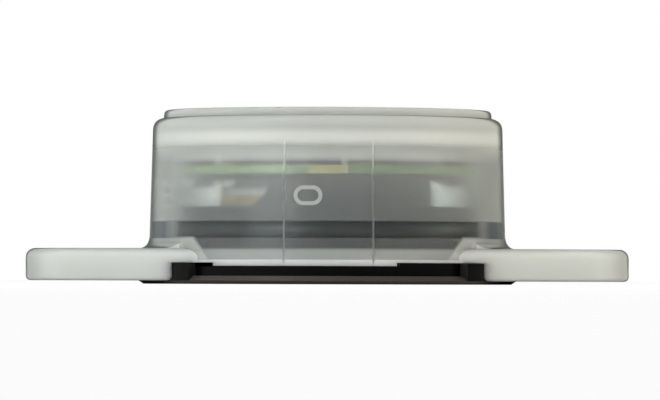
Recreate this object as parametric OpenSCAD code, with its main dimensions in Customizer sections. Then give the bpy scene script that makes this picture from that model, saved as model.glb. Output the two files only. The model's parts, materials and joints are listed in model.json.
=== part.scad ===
// Temperature data logger with a round translucent case, two screw ears and a battery cover.
// The cover is a bayonet plug with a sealing ring. Over it lie a coin cell, its holder and a
// round circuit board, and a soft button in the top works a switch on the board.
// Millimetres, Z up. X runs from ear to ear and the front faces -Y. The origin is the centre
// of the cover's underside. Angles round the case start at the front and grow towards +X.
// At rest the cover is pushed home but not yet turned to its lock.

/* [Case] */
// Radius of the case's wall where it meets the ears
case_r = 16.66; // [16.4:0.02:17]
// Height of the case's top over the cover's underside
case_h = 16.2; // [16:0.1:19]
// Slope of the case's wall
case_draft_a = 1.5; // [0.5:0.1:2]
// Thickness of the wall at the seal
wall_t = 1.86; // [1.7:0.02:2]
// Slope of the bore above the seal
bore_draft_a = 0.9; // [0.3:0.1:1.2]
// Thickness of the top
top_t = 2.1; // [1.8:0.1:2.4]
// Height of the raised top over the shoulder
plateau_h = 0.75; // [0.5:0.05:1]
// Step from the wall in to the raised top
plateau_step = 1.04; // [0.8:0.02:1.3]
// Rounding of the raised top's rim
plateau_round_r = 0.38; // [0.2:0.02:0.45]
// Rounding of the shoulder
shoulder_round_r = 1; // [0.5:0.05:1]
// Rounding inside, between wall and ceiling
ceiling_round_r = 1; // [0.6:0.1:1.2]

/* [Ears] */
// Distance between the two ear holes
ear_spacing = 44; // [43:0.5:52]
// Diameter of each ear hole
ear_hole_d = 4.8; // [3:0.1:6]
// Radius of each ear's round end
ear_end_r = 6.2; // [5.4:0.1:7]
// Thickness of each ear
ear_t = 3; // [2.8:0.1:3.4]
// Height of the ears' underside over the cover's underside
ear_lift = 0.3; // [0.2:0.05:0.4]
// Radius of the hollow sides of the ears
ear_side_r = 90; // [60:1:120]
// Rounding of the ears' upper edges
ear_top_round_r = 0.85; // [0.4:0.05:1]
// Rounding of the ears' lower edges
ear_low_round_r = 0.4; // [0.2:0.05:0.5]
// Fillet between the ears and the wall
ear_fillet_r = 1; // [0.5:0.1:1.4]

/* [Battery cover] */
// How far the cover's disc stands out past the wall
disc_overhang = 0.99; // [0.8:0.01:1.2]
// Thickness of the cover's disc
disc_t = 1.6; // [1.5:0.05:1.7]
// Height of the chamfer under the disc's edge
disc_chamfer_h = 0.3; // [0.2:0.05:0.35]
// Width of the chamfer under the disc's edge
disc_chamfer_w = 0.45; // [0.3:0.05:0.6]
// Half the angle of each finger recess in the disc's edge
recess_half_a = 46.5; // [40:0.5:48]
// Turn from the rest position to the lock
lock_turn_a = 30; // [29:0.5:31]
// Thickness of the bayonet lugs
lug_t = 0.8; // [0.7:0.05:1]
// Angle that each lug takes up
lug_a = 22; // [18:1:23]
// Thickness of the ledges that hold the lugs
ledge_t = 1.18; // [1.1:0.02:1.3]
// Length of the coin slot under the cover
coin_slot_l = 15; // [12:0.5:18]
// Width of the coin slot
coin_slot_w = 2.2; // [1.8:0.1:2.6]
// Depth of the coin slot
coin_slot_depth = 1.3; // [0.8:0.1:1.5]

/* [Seal] */
// Thickness of the sealing ring's section
seal_d = 1.5; // [1.3:0.05:1.6]
// Room between the sealing ring and its bore and groove
seal_gap = 0.04; // [0.02:0.01:0.08]

/* [Circuit board] */
// Room between the circuit board and the wall
board_gap = 0.39; // [0.3:0.01:0.8]
// Thickness of the circuit board
board_t = 0.8; // [0.6:0.1:1]
// Room over the circuit board
board_headroom = 3.2; // [3.1:0.1:3.6]

/* [Coin cell] */
// Room between the coin cell, which is 20 mm across, and the cup in the cover
cell_room = 1.92; // [1.8:0.02:2.1]
// Height of the coin cell
cell_h = 3.2; // [2.8:0.1:3.2]

/* [Button] */
// Diameter of the soft button
button_d = 12.8; // [9:0.2:13.4]
// Travel of the button
button_travel = 0.25; // [0.15:0.05:0.3]

/* [Hidden] */
$fn = 96;

// Overrun of every cut, and the step count of a quarter round
overrun = 0.5;
arc_steps = 6;

// Heights, from the cover's underside up
disc_gap = 0.07;
stop_h = 0.3;
lug_gap = 0.1;
groove_lip_t = 0.12;
seal_side_gap = 0.03;
plug_lip_share = 0.42;
rim_low_z = disc_t + disc_gap;
rim_z = rim_low_z + stop_h;
ledge_z1 = rim_z + ledge_t;
lug_z0 = ledge_z1 + lug_gap;
lug_z1 = lug_z0 + lug_t;
channel_z1 = lug_z1 + lug_gap;
groove_z0 = lug_z1 + groove_lip_t;
groove_z1 = groove_z0 + seal_d + 2 * seal_side_gap;
ear_z0 = ear_lift;
ear_z1 = ear_lift + ear_t;
ceiling_z = case_h - top_t;
board_z1 = ceiling_z - board_headroom;
board_z0 = board_z1 - board_t;
screw_head_t = 1.1;
screw_head_z0 = board_z0 - screw_head_t;
plug_z1 = groove_z1 + plug_lip_share * (screw_head_z0 - groove_z1);
shoulder_z = case_h - plateau_h;

// Radii of the case and the cover
plateau_r = wall_r(shoulder_z) - plateau_step;
neck_gap = 0.2;
ledge_step = 0.1;
channel_step = 0.7;
lug_side_gap = 0.12;
recess_gap = 0.15;
skirt_gap = 0.14;
seal_bore_r = case_r - wall_t;
ledge_r = seal_bore_r + ledge_step;
channel_r = seal_bore_r + channel_step;
neck_r = seal_bore_r - neck_gap;
lug_r = channel_r - lug_side_gap;
disc_r = case_r + disc_overhang;
ear_recess_r = disc_r + recess_gap;
skirt_r = case_r + skirt_gap;
seal_mid_r = seal_bore_r - seal_gap - seal_d / 2;
groove_r = seal_mid_r - seal_d / 2 - seal_gap;
seal_mid_z = (groove_z0 + groove_z1) / 2;

// Angles of the bayonet and of the stops on the case's lower rim
half_turn = 180;
lug_pitch_a = 120;
first_lug_a = 60;
slot_play_a = 2;
rim_low_a0 = -39.3;
rim_low_a1 = 22;
stop_play_a = 1;
stop_a0 = rim_low_a1 + stop_play_a;
stop_a1 = half_turn + rim_low_a0 - stop_play_a - lock_turn_a;

// Outline of the ears: a round end, and hollow sides that run into the wall
ear_x = ear_spacing / 2;
ear_bite = 0.2;
swell_in = 0.05;
ear_side_steps = 12;
ear_end_steps = 24;
ear_low_steps = 3;
ear_top_steps = 5;
ear_wall_reach = ear_side_r + case_r - ear_bite;
ear_end_reach = ear_side_r + ear_end_r;
side_x = (pow(ear_wall_reach, 2) - pow(ear_end_reach, 2) + pow(ear_x, 2)) / (2 * ear_x);
side_y = sqrt(pow(ear_wall_reach, 2) - pow(side_x, 2));
side_wall_a = atan2(side_y, -side_x);
side_end_a = atan2(side_y, ear_x - side_x);

// Marks of the mould on the case's front
insert_half_w = 4.08;
insert_line_w = 0.16;
insert_line_h = 0.05;
insert_line_z1 = ceiling_z - ceiling_round_r;
gate_x = -1.9;
gate_over_seal = 3.15;
gate_w = 2.65;
gate_h = 1.8;
gate_line_w = 0.36;
gate_line_h = 0.06;

// Posts of the case that the circuit board is screwed to
post_r = 2;
post_gap = 0.3;
post_side_x = bore_r(board_z1) - post_gap - post_r;
post_y = 2.1;
post_hole_r = 0.9;
post_hole_depth = 2.6;

// Button, its hole and the sheet round it
button_r = button_d / 2;
button_gap = 0.1;
button_skin_t = 1.2;
button_sink = 0.06;
button_round_r = 0.3;
button_flange_w = 0.9;
button_flange_t = 0.7;
button_wall_t = 1.1;
flange_gap = 0.06;
stem_r = 1.1;
stem_gap = 0.05;
label_t = 0.18;
label_sink = 0.02;
label_rim = 0.7;
label_gap = 0.1;
label_hole_rim = 0.8;
label_r0 = button_r + button_gap + label_hole_rim;
label_r1 = plateau_r - label_rim - label_gap;

// Details of the cover
recess_wall_in = 0.95;
recess_lip_z = 0.75;
recess_lip_in = 0.55;
recess_lip_low_z = 0.32;
cup_wall_t = 1.3;
cup_floor_z = 3;
cup_rib_count = 6;
cup_rib_t = 0.8;
cup_rib_gap = 0.2;
cup_rib_drop = 0.5;
mark_r = 0.7;
mark_depth = 0.2;
mark_in = 3;

// Coin cell and holder
holder_gap = 0.2;
holder_play = 0.2;
holder_wall_t = 0.95;
holder_rim = 0.15;
holder_plate_t = 0.55;
cell_top_gap = 0.05;
cushion_gap = 0.05;
cushion_side_gap = 2.5;
cup_r = groove_r - cup_wall_t;
cup_rib_l = cell_room - cup_rib_gap;
cell_r = cup_r - cell_room;
cushion_r = cell_r - cushion_side_gap;
holder_z0 = plug_z1 + holder_gap;
holder_plate_z0 = board_z0 - holder_plate_t;
holder_r0 = cell_r + holder_play;
holder_wall_r1 = holder_r0 + holder_wall_t;
holder_r1 = holder_wall_r1 + holder_rim;
holder_wall_z1 = board_z0 - holder_plate_t / 2;
holder_front_a0 = -36;
holder_front_a1 = 57;
holder_rear_a0 = 130;
holder_rear_a1 = 230;
holder_end_slant = 2.4;
cell_z1 = holder_plate_z0 - cell_top_gap;
cell_z0 = cell_z1 - cell_h;
can_t = 0.25;
can_drop = 0.45;
can_lip_w = 0.55;
gasket_t = 0.45;
cell_fit = 0.03;
cap_bevel = 0.45;
can_z1 = cell_z1 - can_drop;

// Contact springs
spring_t = 0.15;
side_spring_gap = 0.03;
side_spring_lift = 1;
side_spring_z0 = cell_z0 + side_spring_lift;
side_spring_a0 = -78;
side_spring_a1 = -37;
side_spring_h = 0.8;
side_spring_leg_a = 7;
finger_l = 7;
finger_w = 1.6;
finger_flat_l = 2.4;
window_gap = 0.5;
window_gap_a = 3;

// Screws and rivets
screw_head_r = 1.75;
screw_shank_r = 0.85;
screw_bite = 2.2;
screw_slot_w = 0.5;
screw_slot_depth = 0.5;
screw_hole_r = 1.1;
rivet_r = 0.3;
rivet_gap = 0.05;
rivet_head_r = 0.75;
rivet_head_t = 0.3;
rivet_depth_share = 0.46;
rivet_depth = rivet_depth_share * (board_z0 - holder_z0);
rivet_a = [20, 180];

// Board and its edge
board_r = bore_r(board_z1) - board_gap;
nub_w = 4.4;
nub_gap = 0.14;
nub_l = board_gap - nub_gap;
nub_cut_r = 0.45;

// Switch under the button
switch_w = 2.9;
switch_d = 2.6;
switch_h = 0.62;
switch_plate_t = 0.12;
switch_plate_rim = 0.1;
plunger_r = 0.75;
plunger_gap = 0.08;
plunger_h = 0.7;
plunger_stand = 0.35;
plunger_z1 = board_z1 + switch_h + switch_plate_t + plunger_stand;
plunger_z0 = plunger_z1 - plunger_h;
stem_z0 = plunger_z1 + stem_gap;

// Clear light block over the two lamps
guide_share = [0.555, -0.6];
guide_at = board_r * guide_share;
guide_w = 3.5;
guide_d = 2.2;
guide_gap = 0.2;
guide_pocket_w = 2.9;
guide_pocket_d = 1.2;
guide_pocket_h = 0.75;
lamp_w = 1;
lamp_d = 0.6;
lamp_h = 0.5;
lamp_step = 0.85;

// Parts on the board: width, depth and height, and places as shares of the board's radius
radio_size = [5, 5, 0.85];
radio_share = [-0.39, 0.21];
memory_size = [4.9, 3.9, 1.1];
memory_share = [0.39, 0.25];
antenna_size = [6.5, 2.2, 1];
antenna_share = [-0.36, 0.68];
inductor_size = [3, 3, 1.2];
inductor_share = [-0.57, -0.35];
sensor_size = [2.9, 1.6, 0.76];
sensor_share = [-0.02, -0.8];
crystal_size = [3.2, 1.5, 0.7];
crystal_shares = [[0, 0.46], [-0.39, -0.11]];
capacitor_size = [1.6, 0.8, 0.8];
capacitor_shares = [[-0.59, -0.63], [-0.08, 0.25], [0.17, -0.25], [0.6, -0.1], [0.25, 0.53]];
resistor_size = [1, 0.5, 0.35];
resistor_shares = [[-0.43, -0.67], [-0.14, -0.21], [0.35, -0.38], [0.39, -0.06], [0.5, 0.52], [-0.6, 0.49]];
terminal_share = 0.2;
chip_round_share = 0.12;
pad_r = 0.5;
pad_t = 0.04;
pad_step = 1.6;
pad_count = 4;
pad_share = [-0.13, -0.48];

function wall_r(z) = case_r - (z - ear_z1) * tan(case_draft_a);
function bore_r(z) = seal_bore_r - (z - channel_z1) * tan(bore_draft_a);
function arc(at, r, a0, a1, steps = arc_steps) =
  [for (i = [0 : steps]) at + r * [cos(a0 + (a1 - a0) * i / steps), sin(a0 + (a1 - a0) * i / steps)]];
function spot(a, r) = [r * sin(a), -r * cos(a)];
function rivet_spot(a) = spot(a, (holder_r0 + holder_wall_r1) / 2);

// A profile turned from one angle round the case to another
module turned(a0, a1) rotate_extrude(angle = a1 - a0, start = a0 - 90) children();

// A ring between two radii, two heights and two angles
module ring_part(r0, r1, z0, z1, a0, a1)
  turned(a0, a1) translate([r0, z0]) square([r1 - r0, z1 - z0]);

module ring(r0, r1, z0, z1)
  rotate_extrude() translate([r0, z0]) square([r1 - r0, z1 - z0]);

module rod(r, z0, z1, at = [0, 0])
  translate([at.x, at.y, z0]) cylinder(r = r, h = z1 - z0);

module block(at, size, z0)
  translate([at.x - size.x / 2, at.y - size.y / 2, z0]) cube(size);

module both_sides() {
  children();
  rotate(half_turn) children();
}

module both_posts()
  for (side = [-1, 1]) translate([side * post_side_x, post_y]) children();

// A bar with round ends
module bar_outline(length, width) {
  square([length - width, width], center = true);
  for (side = [-1, 1]) translate([side * (length - width) / 2, 0]) circle(d = width);
}

function ear_outline(inset) = let(
  r = ear_side_r + inset,
  front = arc([side_x, -side_y], r, side_wall_a, side_end_a, ear_side_steps),
  tip = arc([ear_x, 0], ear_end_r - inset, side_end_a - half_turn, half_turn - side_end_a, ear_end_steps),
  back = [for (i = [ear_side_steps : -1 : 0]) [front[i].x, -front[i].y]])
  concat([for (i = [0 : ear_side_steps - 1]) front[i]], tip, [for (i = [1 : ear_side_steps]) back[i]]);

// Rings of the ear, each an inset and a height, from the underside to the top
ear_rings = concat(
  [for (i = [0 : ear_low_steps]) let(a = 90 * i / ear_low_steps)
    [ear_low_round_r * (1 - sin(a)), ear_z0 + ear_low_round_r * (1 - cos(a))]],
  [for (i = [0 : ear_top_steps]) let(a = 90 * i / ear_top_steps)
    [ear_top_round_r * (1 - cos(a)), ear_z1 - ear_top_round_r * (1 - sin(a))]]);

// Rings of the swelling where the fillet runs out over the ear's edge
swell_rings = concat([[ear_top_round_r + swell_in, ear_z1 - ear_fillet_r / 2]],
  [for (i = [0 : ear_top_steps]) let(a = 90 * i / ear_top_steps)
    [ear_top_round_r + swell_in + ear_fillet_r * (1 - cos(a)), ear_z1 + (ear_fillet_r + overrun) * sin(a)]]);

module ear_loft(rings) {
  count = len(ear_outline(0));
  last = len(rings) - 1;
  points = [for (level = rings) for (p = ear_outline(level[0])) [p.x, p.y, level[1]]];
  sides = [for (k = [0 : last - 1]) for (i = [0 : count - 1]) let(j = (i + 1) % count)
    [k * count + i, (k + 1) * count + i, (k + 1) * count + j, k * count + j]];
  // Both ends are strips across the ear, which stay convex where its sides curve in
  tip = (count - 1) / 2;
  strips = concat([for (i = [0 : tip - 2]) [i, i + 1, count - 2 - i, count - 1 - i]],
    [[tip - 1, tip, tip + 1]]);
  top = [for (strip = strips) [for (k = [len(strip) - 1 : -1 : 0]) last * count + strip[k]]];
  polyhedron(points, concat(sides, strips, top));
}

// Fillet that runs from the wall out over the ear
module ear_fillet()
  intersection() {
    rotate_extrude() polygon(concat(
      [[seal_bore_r, ear_z1 - ear_fillet_r], [case_r + ear_fillet_r, ear_z1 - ear_fillet_r]],
      arc([case_r + ear_fillet_r, ear_z1 + ear_fillet_r], ear_fillet_r, 270, 180),
      [[seal_bore_r, ear_z1 + ear_fillet_r]]));
    ear_loft(swell_rings);
  }

module ears()
  both_sides() difference() {
    union() {
      ear_loft(ear_rings);
      ear_fillet();
    }
    rod(ear_recess_r, -overrun, rim_z);
  }

module case_outside()
  rotate_extrude() polygon(concat(
    [[0, rim_z], [wall_r(rim_z), rim_z]],
    arc([wall_r(shoulder_z) - shoulder_round_r, shoulder_z - shoulder_round_r], shoulder_round_r, 0, 90),
    arc([plateau_r - plateau_round_r, case_h - plateau_round_r], plateau_round_r, 0, 90),
    [[0, case_h]]));

module case_bore() {
  round_z = ceiling_z - ceiling_round_r;
  rotate_extrude() polygon(concat(
    [[0, rim_low_z - overrun], [ledge_r, rim_low_z - overrun], [ledge_r, ledge_z1], [channel_r, ledge_z1],
      [channel_r, channel_z1], [seal_bore_r, channel_z1]],
    arc([bore_r(round_z) - ceiling_round_r, round_z], ceiling_round_r, 0, 90),
    [[0, ceiling_z]]));
  for (i = [0 : 2]) let(a = first_lug_a + i * lug_pitch_a, half = lug_a / 2 + slot_play_a)
    ring_part(neck_r, channel_r, rim_low_z - overrun, ledge_z1 + overrun, a - half, a + half);
}

module post()
  difference() {
    rod(post_r, board_z1, ceiling_z + overrun);
    rod(post_hole_r, board_z1 - overrun, board_z1 + post_hole_depth);
  }

module mould_marks() {
  line_a = asin(insert_half_w / case_r);
  half_a = asin(insert_line_w / 2 / case_r);
  for (a = [-line_a, line_a])
    turned(a - half_a, a + half_a) polygon([
      [wall_r(rim_z) - insert_line_w, rim_z], [wall_r(rim_z) + insert_line_h, rim_z],
      [wall_r(insert_line_z1) + insert_line_h, insert_line_z1],
      [wall_r(insert_line_z1) - insert_line_w, insert_line_z1]]);
  gate_z = seal_mid_z + gate_over_seal;
  rotate(asin(gate_x / case_r)) translate([0, gate_line_h - wall_r(gate_z) + gate_line_h, gate_z])
    rotate([90, 0, 0]) linear_extrude(3 * gate_line_h) difference() {
      bar_outline(gate_w, gate_h);
      bar_outline(gate_w - 2 * gate_line_w, gate_h - 2 * gate_line_w);
    }
}

module housing()
  color("#d9dcd6") {
    difference() {
      union() {
        ears();
        case_outside();
        both_sides() ring_part(ledge_r, case_r, rim_low_z, rim_z, rim_low_a0, rim_low_a1);
        mould_marks();
      }
      case_bore();
      rod(button_r + button_gap, ceiling_z - overrun, case_h + overrun);
      ring(0, label_r1 + label_gap, case_h - label_t - label_sink, case_h + overrun);
      for (side = [-1, 1]) rod(ear_hole_d / 2, ear_z0 - overrun, ear_z1 + overrun, [side * ear_x, 0]);
    }
    both_posts() post();
  }

module top_label()
  color("#cfd2cc") ring(label_r0, label_r1, case_h - label_t - label_sink, case_h - label_sink);

// Soft cap with a flange under the ceiling and a stem over the switch
module button_cap() {
  top_z = case_h - label_t - label_sink - button_sink;
  flange_r = button_r + button_gap + button_flange_w;
  flange_z1 = ceiling_z - flange_gap;
  flange_z0 = flange_z1 - button_flange_t;
  hollow_r = button_r - button_wall_t;
  color("#c9cdc6") rotate_extrude() polygon(concat(
    [[0, stem_z0], [stem_r, stem_z0], [stem_r, top_z - button_skin_t], [hollow_r, top_z - button_skin_t],
      [hollow_r, flange_z0], [flange_r, flange_z0], [flange_r, flange_z1], [button_r, flange_z1]],
    arc([button_r - button_round_r, top_z - button_round_r], button_round_r, 0, 90),
    [[0, top_z]]));
}

// Finger recess in the edge of the disc, above a sloped lip
module disc_recess()
  turned(-recess_half_a, recess_half_a) polygon([
    [disc_r - recess_wall_in, disc_t + overrun], [disc_r - recess_wall_in, recess_lip_z],
    [disc_r - recess_lip_in, recess_lip_z], [disc_r, recess_lip_low_z],
    [disc_r + overrun, recess_lip_low_z], [disc_r + overrun, disc_t + overrun]]);

module battery_cover() {
  side_a0 = recess_half_a;
  side_a1 = half_turn - recess_half_a;
  color("#1d1c1a") {
    difference() {
      union() {
        rotate_extrude() polygon([[0, 0], [disc_r - disc_chamfer_w, 0], [disc_r, disc_chamfer_h],
          [disc_r, disc_t], [neck_r, disc_t], [neck_r, groove_z0], [groove_r, groove_z0],
          [groove_r, groove_z1], [neck_r, groove_z1], [neck_r, plug_z1], [0, plug_z1]]);
        both_sides() {
          ring_part(skirt_r, disc_r, disc_t - overrun, disc_t + stop_h, side_a0, side_a1);
          ring_part(groove_r, skirt_r, disc_t - overrun, disc_t + stop_h, stop_a0, stop_a1);
        }
        for (i = [0 : 2]) let(a = first_lug_a + i * lug_pitch_a)
          ring_part(groove_r, lug_r, lug_z0, lug_z1, a - lug_a / 2, a + lug_a / 2);
      }
      both_sides() disc_recess();
      rod(cup_r, cup_floor_z, plug_z1 + overrun);
      translate([0, 0, -overrun]) linear_extrude(coin_slot_depth + overrun)
        bar_outline(coin_slot_l, coin_slot_w);
      rod(mark_r, -overrun, mark_depth, spot(0, disc_r - mark_in));
    }
    for (i = [0 : cup_rib_count - 1]) rotate(360 * i / cup_rib_count)
      translate([cup_r - cup_rib_l, -cup_rib_t / 2, cup_floor_z - mark_depth])
        cube([cup_rib_l + cup_wall_t / 2, cup_rib_t, plug_z1 - cup_rib_drop - cup_floor_z + mark_depth]);
  }
}

module o_ring()
  color("#2b2b2c") rotate_extrude() translate([seal_mid_r, seal_mid_z]) circle(d = seal_d);

module battery_cushion()
  color("#4a4b4d") rod(cushion_r, cup_floor_z, cell_z0 - cushion_gap);

module circuit_board()
  color("#5f7f4f") difference() {
    union() {
      rod(board_r, board_z0, board_z1);
      difference() {
        block([0, -board_r], [nub_w, 2 * nub_l, board_t], board_z0);
        for (side = [-1, 1])
          rod(nub_cut_r, board_z0 - overrun, board_z1 + overrun, [side * nub_w / 2, -board_r - nub_l]);
      }
    }
    both_posts() rod(screw_hole_r, board_z0 - overrun, board_z1 + overrun);
    for (a = rivet_a) rod(rivet_r + rivet_gap, board_z0 - overrun, board_z1 + overrun, rivet_spot(a));
  }

// Wall of the holder. The front one's end slants out towards the bottom
module holder_wall(a0, a1)
  ring_part(holder_r0, holder_wall_r1, holder_z0, holder_wall_z1, a0, a1);

module holder_slant()
  rotate(holder_front_a0) translate([0, -holder_r1 - overrun, holder_z0]) rotate([-90, 0, 0])
    linear_extrude(holder_wall_t + holder_rim + 2 * overrun) polygon([
      [-overrun, overrun], [0, overrun], [0, 0],
      [holder_end_slant, holder_z0 - board_z0], [-overrun, holder_z0 - board_z0]]);

module battery_holder()
  color("#2a2c2d") difference() {
    union() {
      rod(holder_r1, holder_plate_z0, board_z0);
      difference() {
        holder_wall(holder_front_a0, holder_front_a1);
        holder_slant();
      }
      holder_wall(holder_rear_a0, holder_rear_a1);
    }
    block([0, 0], [finger_l + 2 * window_gap, finger_w + 2 * window_gap, holder_plate_t + 2 * overrun],
      holder_plate_z0 - overrun);
    both_posts() rod(screw_head_r + window_gap, holder_plate_z0 - overrun, board_z0 + overrun);
    side_spring_path();
    for (a = rivet_a)
      rod(rivet_r + rivet_gap, board_z0 - rivet_depth - rivet_gap, board_z0 + overrun, rivet_spot(a));
  }

// Way for the side spring's leg through the holder
module side_spring_path()
  ring_part(cell_r + side_spring_gap - window_gap / 2, cell_r + side_spring_gap + spring_t + window_gap,
    holder_plate_z0 - overrun, board_z0 + overrun,
    side_spring_a0 - window_gap_a, side_spring_a0 + side_spring_leg_a + window_gap_a);

module contact_positive()
  color("#b49a5e") {
    r0 = cell_r + side_spring_gap;
    ring_part(r0, r0 + spring_t, side_spring_z0, side_spring_z0 + side_spring_h,
      side_spring_a0, side_spring_a1);
    ring_part(r0, r0 + spring_t, side_spring_z0, board_z0,
      side_spring_a0, side_spring_a0 + side_spring_leg_a);
  }

module contact_negative() {
  half = finger_l / 2;
  flat = finger_flat_l / 2;
  color("#b49a5e") translate([0, finger_w / 2, 0]) rotate([90, 0, 0]) linear_extrude(finger_w)
    polygon([[-half, board_z0], [-half, board_z0 - spring_t], [-flat, cell_z1], [flat, cell_z1],
      [half, board_z0 - spring_t], [half, board_z0],
      [flat, cell_z1 + spring_t], [-flat, cell_z1 + spring_t]]);
}

module coin_cell_can()
  color("#b9bab8") rotate_extrude() polygon([
    [0, cell_z0], [cell_r - can_t, cell_z0], [cell_r, cell_z0 + can_t], [cell_r, can_z1 - can_t],
    [cell_r - can_t, can_z1], [cell_r - can_lip_w, can_z1],
    [cell_r - can_lip_w, can_z1 - can_t], [cell_r - can_t, can_z1 - can_t],
    [cell_r - can_t, cell_z0 + can_t], [0, cell_z0 + can_t]]);

module coin_cell_gasket() {
  r1 = cell_r - can_t - cell_fit;
  lip_r1 = cell_r - can_lip_w - cell_fit;
  color("#2f3032") rotate_extrude() polygon([[r1 - gasket_t, cell_z0 + can_t + cell_fit],
    [r1, cell_z0 + can_t + cell_fit], [r1, can_z1 - can_t - cell_fit], [lip_r1, can_z1 - can_t - cell_fit],
    [lip_r1, can_z1], [r1 - gasket_t, can_z1]]);
}

module coin_cell_cap() {
  r1 = cell_r - can_t - gasket_t - 2 * cell_fit;
  color("#c3c4c2") rotate_extrude() polygon([
    [0, cell_z0 + can_t + cell_fit], [r1, cell_z0 + can_t + cell_fit], [r1, can_z1],
    [r1 - cap_bevel, cell_z1], [0, cell_z1]]);
}

// A moulded chip with a shallow round mark in one corner
module chip(at, size) {
  mark = size.x * chip_round_share;
  difference() {
    block(at, size, board_z1);
    rod(mark, board_z1 + size.z - mark_depth, board_z1 + size.z + overrun,
      [at.x - size.x / 2 + 2 * mark, at.y - size.y / 2 + 2 * mark]);
  }
}

module radio_chip() color("#26282a") chip(board_r * radio_share, radio_size);
module memory_chip() color("#26282a") chip(board_r * memory_share, memory_size);
module chip_antenna() color("#d8d6cd") block(board_r * antenna_share, antenna_size, board_z1);
module inductor() color("#3a3b3c") translate(board_r * inductor_share) difference() {
  block([0, 0], inductor_size, board_z1);
  rod(inductor_size.x / 3, board_z1 + inductor_size.z - mark_depth, board_z1 + inductor_size.z + overrun);
}
module temperature_sensor() color("#1f2021") chip(board_r * sensor_share, sensor_size);
module crystals() color("#c9c9c4") for (share = crystal_shares)
  block(board_r * share, crystal_size, board_z1);

// The middle of each small part. Its tinned ends are a node of their own
module chip_bodies(shares, size)
  for (share = shares)
    block(board_r * share, [size.x * (1 - 2 * terminal_share), size.y, size.z], board_z1);

module chip_ends(shares, size)
  for (share = shares) for (side = [-1, 1])
    block(board_r * share + [side * size.x * (1 - terminal_share) / 2, 0],
      [size.x * terminal_share, size.y, size.z], board_z1);

module capacitors() color("#a98d6a") chip_bodies(capacitor_shares, capacitor_size);
module resistors() color("#1c1d1e") chip_bodies(resistor_shares, resistor_size);
module chip_terminals() color("#c2c3c1") {
  chip_ends(capacitor_shares, capacitor_size);
  chip_ends(resistor_shares, resistor_size);
}

module test_pads()
  color("#c8a24c") for (i = [0 : pad_count - 1])
    rod(pad_r, board_z1, board_z1 + pad_t, board_r * pad_share + [i * pad_step, 0]);

module tact_switch_body()
  color("#202122") difference() {
    block([0, 0], [switch_w, switch_d, switch_h], board_z1);
    rod(plunger_r + plunger_gap, plunger_z0 - button_travel - plunger_gap, board_z1 + switch_h + overrun);
  }

module tact_switch_cover()
  color("#b5b6b4") difference() {
    block([0, 0], [switch_w - 2 * switch_plate_rim, switch_d - 2 * switch_plate_rim, switch_plate_t],
      board_z1 + switch_h);
    rod(plunger_r + plunger_gap, board_z1 + switch_h - overrun,
      board_z1 + switch_h + switch_plate_t + overrun);
  }

module switch_plunger() color("#e3e1da") rod(plunger_r, plunger_z0, plunger_z1);

module led(side) block(guide_at + [side * lamp_step, 0], [lamp_w, lamp_d, lamp_h], board_z1);
module led_red() color("#d7b9b4") led(-1);
module led_green() color("#bfd2b8") led(1);

module light_guide()
  color("#dfe3de") difference() {
    block(guide_at, [guide_w, guide_d, board_headroom - guide_gap], board_z1);
    block(guide_at, [guide_pocket_w, guide_pocket_d, guide_pocket_h + overrun], board_z1 - overrun);
  }

// Pan-head screws from below the board into the posts
module board_screws()
  color("#a8a9a8") both_posts() difference() {
    union() {
      rod(screw_head_r, screw_head_z0, board_z0);
      rod(screw_shank_r, board_z0 - screw_slot_depth, board_z1 + screw_bite);
    }
    for (turn = [0, 90]) rotate(turn)
      block([0, 0], [2 * screw_head_r - overrun * 2, screw_slot_w, screw_slot_depth + overrun],
        screw_head_z0 - overrun);
  }

module holder_rivets()
  color("#b9bab8") for (a = rivet_a) {
    rod(rivet_r, board_z0 - rivet_depth, board_z1 + rivet_head_t, rivet_spot(a));
    rod(rivet_head_r, board_z1, board_z1 + rivet_head_t, rivet_spot(a));
  }

housing();
button_cap();
top_label();
battery_cover();
o_ring();
battery_cushion();
circuit_board();
battery_holder();
contact_positive();
contact_negative();
coin_cell_can();
coin_cell_gasket();
coin_cell_cap();
radio_chip();
chip_antenna();
memory_chip();
crystals();
tact_switch_body();
tact_switch_cover();
switch_plunger();
led_red();
led_green();
light_guide();
temperature_sensor();
capacitors();
resistors();
inductor();
chip_terminals();
board_screws();
test_pads();
holder_rivets();
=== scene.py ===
import json
import math

import bpy
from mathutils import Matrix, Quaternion, Vector

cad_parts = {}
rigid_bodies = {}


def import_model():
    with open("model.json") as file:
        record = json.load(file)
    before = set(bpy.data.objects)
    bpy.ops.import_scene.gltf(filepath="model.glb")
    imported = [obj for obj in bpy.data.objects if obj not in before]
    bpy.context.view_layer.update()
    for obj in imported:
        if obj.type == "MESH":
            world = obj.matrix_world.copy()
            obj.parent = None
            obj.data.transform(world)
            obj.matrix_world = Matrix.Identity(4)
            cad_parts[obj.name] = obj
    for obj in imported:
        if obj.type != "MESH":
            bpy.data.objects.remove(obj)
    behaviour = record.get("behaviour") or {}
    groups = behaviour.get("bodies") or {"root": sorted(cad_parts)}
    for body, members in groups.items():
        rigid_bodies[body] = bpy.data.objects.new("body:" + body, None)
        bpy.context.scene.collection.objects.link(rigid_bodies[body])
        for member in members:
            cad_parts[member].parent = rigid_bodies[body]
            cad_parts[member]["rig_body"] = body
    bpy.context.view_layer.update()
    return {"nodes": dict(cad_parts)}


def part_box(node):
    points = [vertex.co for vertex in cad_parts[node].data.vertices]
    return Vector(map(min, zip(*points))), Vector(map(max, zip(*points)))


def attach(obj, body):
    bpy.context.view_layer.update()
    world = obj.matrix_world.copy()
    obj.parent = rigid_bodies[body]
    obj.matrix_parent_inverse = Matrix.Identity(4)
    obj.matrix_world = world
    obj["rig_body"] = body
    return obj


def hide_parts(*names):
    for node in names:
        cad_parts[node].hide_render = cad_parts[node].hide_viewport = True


mm = 0.001

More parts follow.
